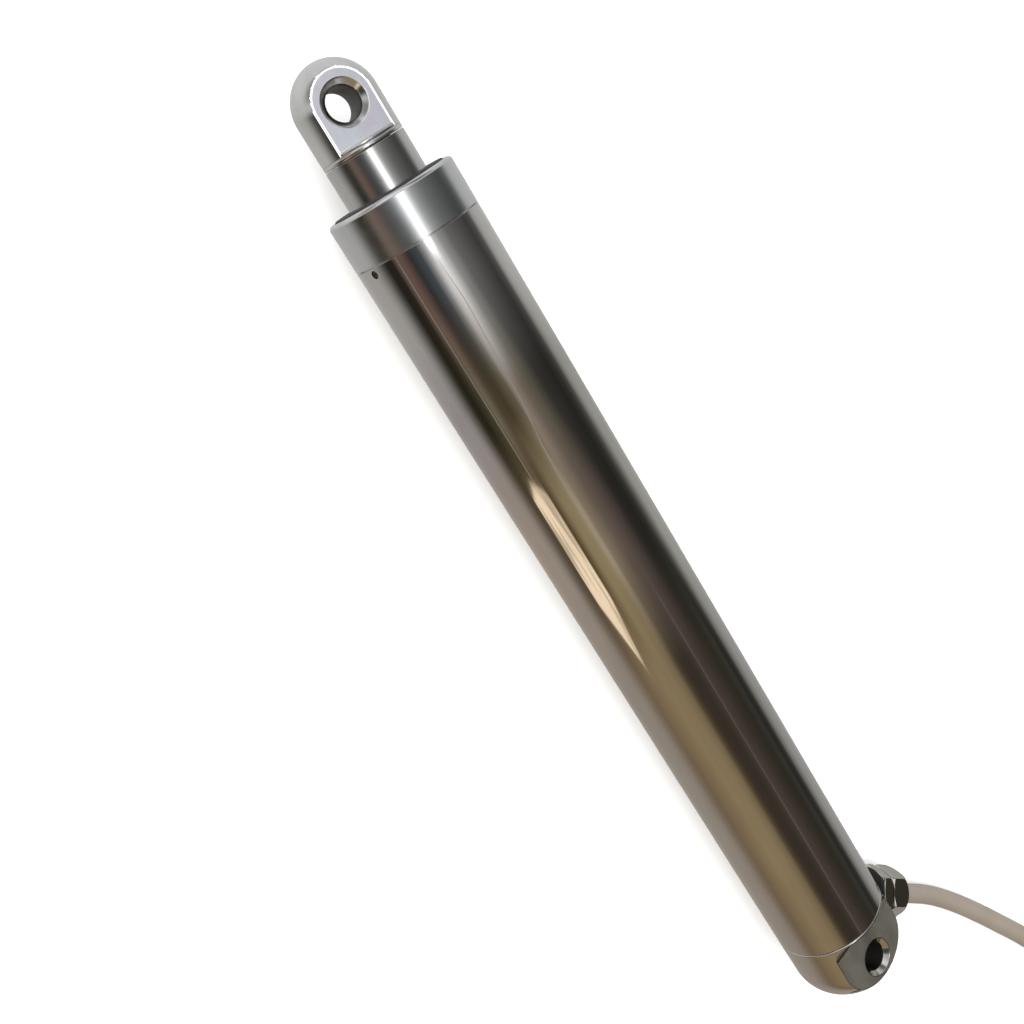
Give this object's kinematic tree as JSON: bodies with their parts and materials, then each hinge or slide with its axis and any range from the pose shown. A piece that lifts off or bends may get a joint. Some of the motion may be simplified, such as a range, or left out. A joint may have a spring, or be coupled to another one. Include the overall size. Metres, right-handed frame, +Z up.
{
  "type": "linear actuator",
  "caption": "Slim tubular in-line linear actuator in stainless steel, with a sliding rod and eye, a domed rear eye, and an angled cable gland with its cable.",
  "frame": {"origin": "on the surface it lies on, under the middle of the body from the rear cap's tip to the rod eye's tip", "axes": "+X along the body towards the rod eye, +Z up, +Y to the left seen from behind; the cable gland is on the -Y side"},
  "size_m": [0.4823, 0.092, 0.035],
  "materials": {
    "polished_steel": "mirror polished stainless steel",
    "satin_steel": "satin turned stainless steel",
    "nickel": "nickel-plated brass, bright",
    "steel": "machined steel",
    "bronze": "machined bronze",
    "copper": "enamelled copper",
    "magnet": "dark ferrite and carbon, matt",
    "rubber": "black rubber, matt",
    "nylon": "natural nylon",
    "black_plastic": "moulded, fine grain",
    "board": "green circuit board",
    "cable_jacket": "smooth PVC, slightly dull",
    "lead_brown": "smooth PVC",
    "lead_blue": "smooth PVC"
  },
  "bodies": {
    "housing": {"outer_tube": "polished_steel", "front_collar": "satin_steel", "wiper_ring": "rubber", "rod_seal": "rubber", "guide_bush": "bronze", "collar_o_ring": "rubber", "rear_cap": "polished_steel", "cap_o_ring": "rubber", "collar_pin": "steel", "cap_pin": "steel", "guide_rail": "steel", "switch_strip": "board", "rear_limit_switch": "black_plastic", "front_limit_switch": "black_plastic", "bearing_housing": "steel", "bearing_outer_race": "steel", "gearbox_plate": "steel", "ring_gear": "steel", "gearbox_cover": "steel", "motor_can": "steel", "motor_end_bell": "black_plastic", "magnet_upper": "magnet", "magnet_lower": "magnet", "brush_upper": "magnet", "brush_lower": "magnet", "motor_bush_rear": "bronze", "motor_bush_front": "bronze", "terminal_board": "board", "lead_brown": "lead_brown", "lead_blue": "lead_blue", "gland_body": "nickel", "gland_washer": "rubber", "gland_seal": "rubber", "gland_nut": "nickel", "cable_inner": "cable_jacket", "cable_run": "cable_jacket", "cable_coil": "cable_jacket", "cable_tail": "cable_jacket", "cable_tie": "black_plastic", "plug_body": "black_plastic", "plug_ring": "nickel"},
    "carriage": {"drive_nut": "bronze", "guide_ring": "nylon", "rod_circlip": "steel"},
    "rod": {"rod_tube": "polished_steel", "rod_eye": "satin_steel"},
    "screw": {"lead_screw": "steel", "screw_end_stop": "steel", "bearing_inner_race": "steel", "drive_coupling": "steel", "planet_carrier": "steel"},
    "ball_cage": {"bearing_balls": "steel"},
    "rotor": {"motor_shaft": "steel", "armature_core": "steel", "armature_winding": "copper", "commutator": "copper", "sun_gear": "steel"},
    "planet_1": {"planet_gear_1": "steel"},
    "planet_2": {"planet_gear_2": "steel"},
    "planet_3": {"planet_gear_3": "steel"}
  },
  "joints": [
    {"name": "rod_slide", "type": "slide", "parent": "housing", "child": "carriage", "axis": [1, 0, 0], "range_m": [0, 0.08]},
    {"name": "rod_turn", "type": "hinge", "parent": "carriage", "child": "rod", "pos_m": [0.1, 0, 0.0175], "axis": [1, 0, 0], "continuous": true},
    {"name": "screw_spin", "type": "hinge", "parent": "housing", "child": "screw", "pos_m": [0, 0, 0.0175], "axis": [1, 0, 0], "continuous": true},
    {"name": "ball_spin", "type": "hinge", "parent": "housing", "child": "ball_cage", "pos_m": [-0.01555, 0, 0.0175], "axis": [1, 0, 0], "continuous": true},
    {"name": "motor_spin", "type": "hinge", "parent": "housing", "child": "rotor", "pos_m": [-0.07, 0, 0.0175], "axis": [1, 0, 0], "continuous": true},
    {"name": "planet_1_spin", "type": "hinge", "parent": "screw", "child": "planet_1", "pos_m": [-0.03835, 0.0084, 0.0175], "axis": [1, 0, 0], "continuous": true},
    {"name": "planet_2_spin", "type": "hinge", "parent": "screw", "child": "planet_2", "pos_m": [-0.03835, -0.0042, 0.02477], "axis": [1, 0, 0], "continuous": true},
    {"name": "planet_3_spin", "type": "hinge", "parent": "screw", "child": "planet_3", "pos_m": [-0.03835, -0.0042, 0.01022], "axis": [1, 0, 0], "continuous": true}
  ],
  "couplings": [
    {"joint": "screw_spin", "follows": "rod_slide", "rad_per_m": -1570.8},
    {"joint": "ball_spin", "follows": "rod_slide", "rad_per_m": -640.12},
    {"joint": "motor_spin", "follows": "rod_slide", "rad_per_m": -6283.2},
    {"joint": "planet_1_spin", "follows": "rod_slide", "rad_per_m": 4712.4},
    {"joint": "planet_2_spin", "follows": "rod_slide", "rad_per_m": 4712.4},
    {"joint": "planet_3_spin", "follows": "rod_slide", "rad_per_m": 4712.4}
  ]
}
